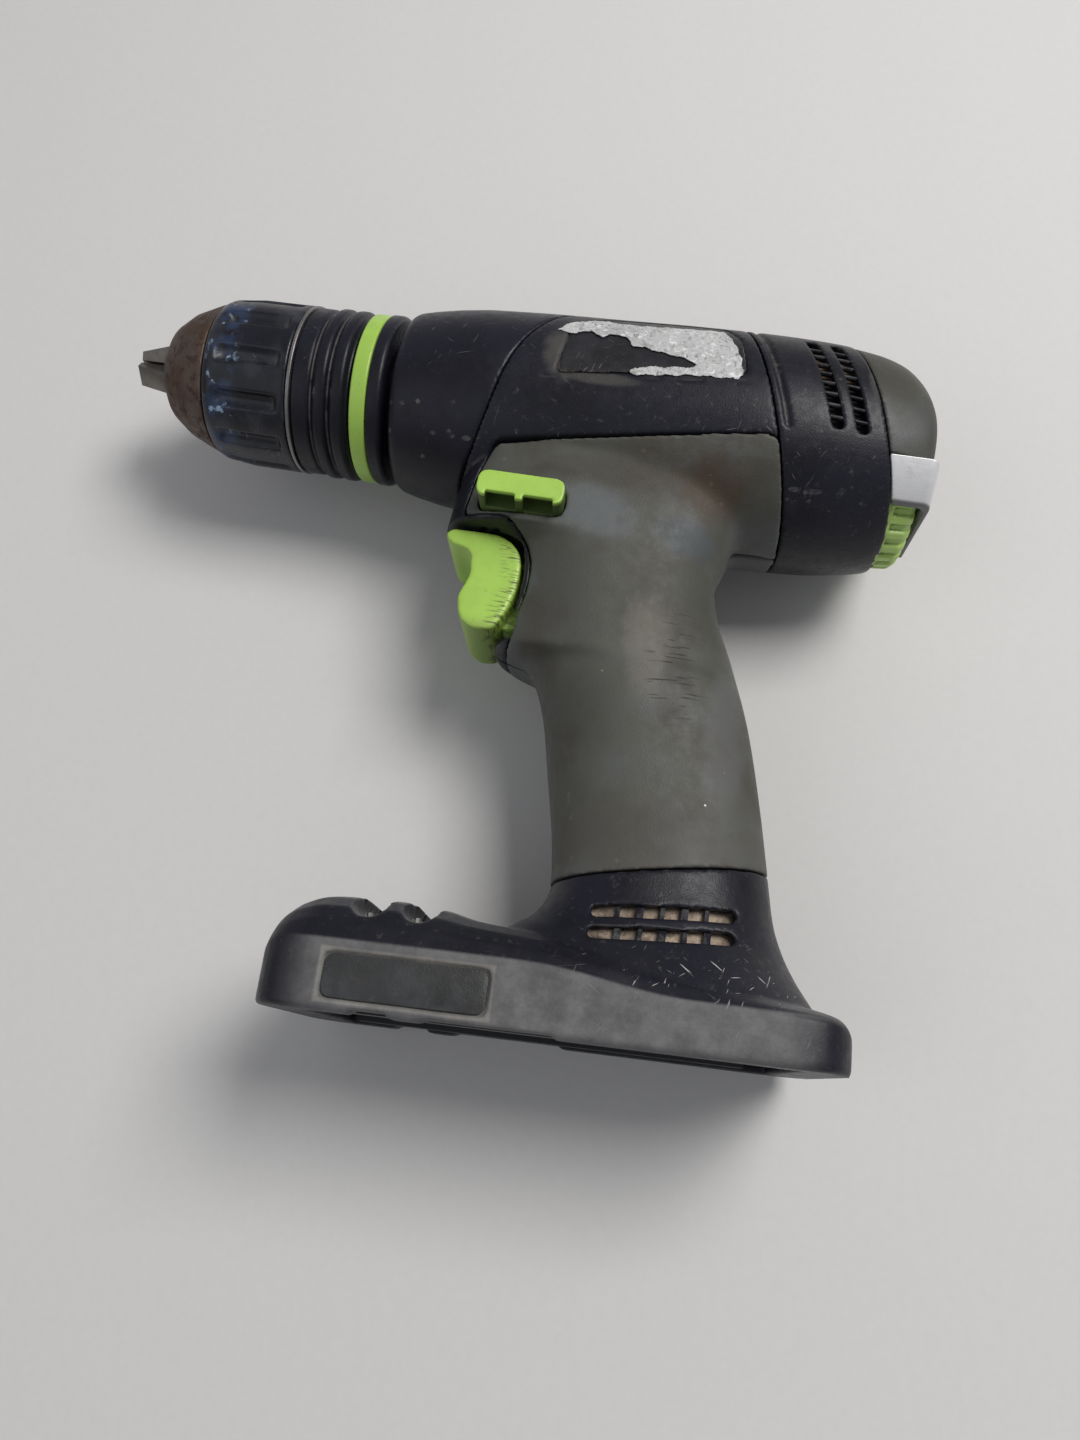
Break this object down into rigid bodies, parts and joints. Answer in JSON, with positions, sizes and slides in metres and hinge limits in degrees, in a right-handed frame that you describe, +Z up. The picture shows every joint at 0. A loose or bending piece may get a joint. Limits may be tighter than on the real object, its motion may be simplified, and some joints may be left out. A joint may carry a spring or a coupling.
{
  "type": "cordless drill",
  "caption": "Pistol-grip cordless drill driver without its battery pack: fluted keyless chuck, release ring, trigger, direction button and rear torque dial.",
  "frame": {"origin": "centre of the bounding box on the plane of the foot’s underside", "axes": "+X from the chuck towards the rear, parallel to the foot; +Y towards the tool’s right-hand side; +Z up. The chuck axis rises 3.6 degrees towards the nose"},
  "size_m": [0.2058, 0.066, 0.1833],
  "materials": {
    "black_plastic": "satin",
    "soft_grip": "matte soft-touch overmould, dusty",
    "green_plastic": "satin, scuffed",
    "silver_plastic": "silver painted plastic",
    "worn_steel": "blackened, rusty steel",
    "steel": "turned steel",
    "copper_red": "copper windings",
    "board_green": "circuit board"
  },
  "bodies": {
    "housing": {"housing_left": "black_plastic", "housing_right": "black_plastic", "nose_housing": "black_plastic", "rear_housing": "black_plastic", "rear_cap": "soft_grip", "rear_bezel": "silver_plastic", "grip_left": "soft_grip", "grip_right": "soft_grip", "side_plate_left": "black_plastic", "side_plate_right": "black_plastic", "foot_plate_left": "black_plastic", "foot_plate_right": "black_plastic", "battery_rail_left": "black_plastic", "battery_rail_right": "black_plastic", "terminal_block": "black_plastic", "bit_clip_1": "steel", "bit_clip_2": "steel", "case_screw_1": "steel", "case_screw_2": "steel", "case_screw_3": "steel", "case_screw_4": "steel", "case_screw_5": "steel", "switch_module": "black_plastic", "control_board": "board_green", "front_bearing": "steel", "ring_gear": "steel", "gear_cover": "black_plastic", "motor_can": "steel", "brush_plate": "black_plastic"},
    "chuck": {"spindle": "steel", "chuck_body": "worn_steel", "chuck_collar": "black_plastic", "planet_carrier": "steel"},
    "sleeve": {"chuck_sleeve": "black_plastic", "sleeve_ring": "steel"},
    "jaw_a": {"jaw_1": "steel"},
    "jaw_b": {"jaw_2": "steel"},
    "jaw_c": {"jaw_3": "steel"},
    "planet_a": {"planet_1": "steel"},
    "planet_b": {"planet_2": "steel"},
    "planet_c": {"planet_3": "steel"},
    "rotor": {"motor_shaft": "steel", "armature": "copper_red", "fan": "black_plastic"},
    "release": {"release_ring": "green_plastic", "lock_collar": "black_plastic"},
    "dial": {"torque_dial": "green_plastic"},
    "trigger": {"trigger": "green_plastic"},
    "direction": {"direction_button": "green_plastic"},
    "gear_knob": {"gear_selector": "black_plastic"}
  },
  "joints": [
    {"name": "chuck_spin", "type": "hinge", "parent": "housing", "child": "chuck", "pos_m": [-0.0554, 0, 0.1587], "axis": [0.998, 0, -0.0628], "continuous": true},
    {"name": "rotor_spin", "type": "hinge", "parent": "housing", "child": "rotor", "pos_m": [0.03442, 0, 0.15305], "axis": [0.998, 0, -0.0628], "continuous": true},
    {"name": "sleeve_turn", "type": "hinge", "parent": "chuck", "child": "sleeve", "pos_m": [-0.06538, 0, 0.15933], "axis": [0.998, 0, -0.0628], "range_deg": [0, 720]},
    {"name": "jaw_slide_a", "type": "slide", "parent": "chuck", "child": "jaw_a", "axis": [0.9703, -0.1462, 0.1927], "range_m": [0, 0.0205]},
    {"name": "jaw_slide_b", "type": "slide", "parent": "chuck", "child": "jaw_b", "axis": [0.9385, -0.1462, -0.3127], "range_m": [0, 0.0205]},
    {"name": "jaw_slide_c", "type": "slide", "parent": "chuck", "child": "jaw_c", "axis": [0.9544, 0.2924, -0.06], "range_m": [0, 0.0205]},
    {"name": "planet_spin_a", "type": "hinge", "parent": "chuck", "child": "planet_a", "pos_m": [0.00597, 0, 0.16586], "axis": [0.998, 0, -0.0628], "continuous": true},
    {"name": "planet_spin_b", "type": "hinge", "parent": "chuck", "child": "planet_b", "pos_m": [0.00494, -0.00953, 0.14939], "axis": [0.998, 0, -0.0628], "continuous": true},
    {"name": "planet_spin_c", "type": "hinge", "parent": "chuck", "child": "planet_c", "pos_m": [0.00494, 0.00953, 0.14939], "axis": [0.998, 0, -0.0628], "continuous": true},
    {"name": "release_pull", "type": "slide", "parent": "housing", "child": "release", "axis": [0.998, 0, -0.0628], "range_m": [0, 0.0018], "stiffness_N_per_m": 800},
    {"name": "dial_turn", "type": "hinge", "parent": "housing", "child": "dial", "pos_m": [0.09599, 0, 0.14417], "axis": [0.998, 0, -0.0628], "range_deg": [-135, 135]},
    {"name": "trigger_pull", "type": "slide", "parent": "housing", "child": "trigger", "axis": [0.998, 0, -0.0628], "range_m": [0, 0.0065], "stiffness_N_per_m": 600},
    {"name": "direction_push", "type": "slide", "parent": "housing", "child": "direction", "axis": [0, 1, 0], "range_m": [0, 0.007]},
    {"name": "gear_shift", "type": "slide", "parent": "housing", "child": "gear_knob", "axis": [0.998, 0, -0.0628], "range_m": [0, 0.008]}
  ],
  "couplings": [
    {"joint": "jaw_slide_a", "follows": "sleeve_turn", "m_per_rad": 0.0016313},
    {"joint": "jaw_slide_b", "follows": "sleeve_turn", "m_per_rad": 0.0016313},
    {"joint": "jaw_slide_c", "follows": "sleeve_turn", "m_per_rad": 0.0016313},
    {"joint": "planet_spin_a", "follows": "chuck_spin", "ratio": -2.8571},
    {"joint": "planet_spin_b", "follows": "chuck_spin", "ratio": -2.8571},
    {"joint": "planet_spin_c", "follows": "chuck_spin", "ratio": -2.8571},
    {"joint": "rotor_spin", "follows": "chuck_spin", "ratio": 4.3333}
  ]
}
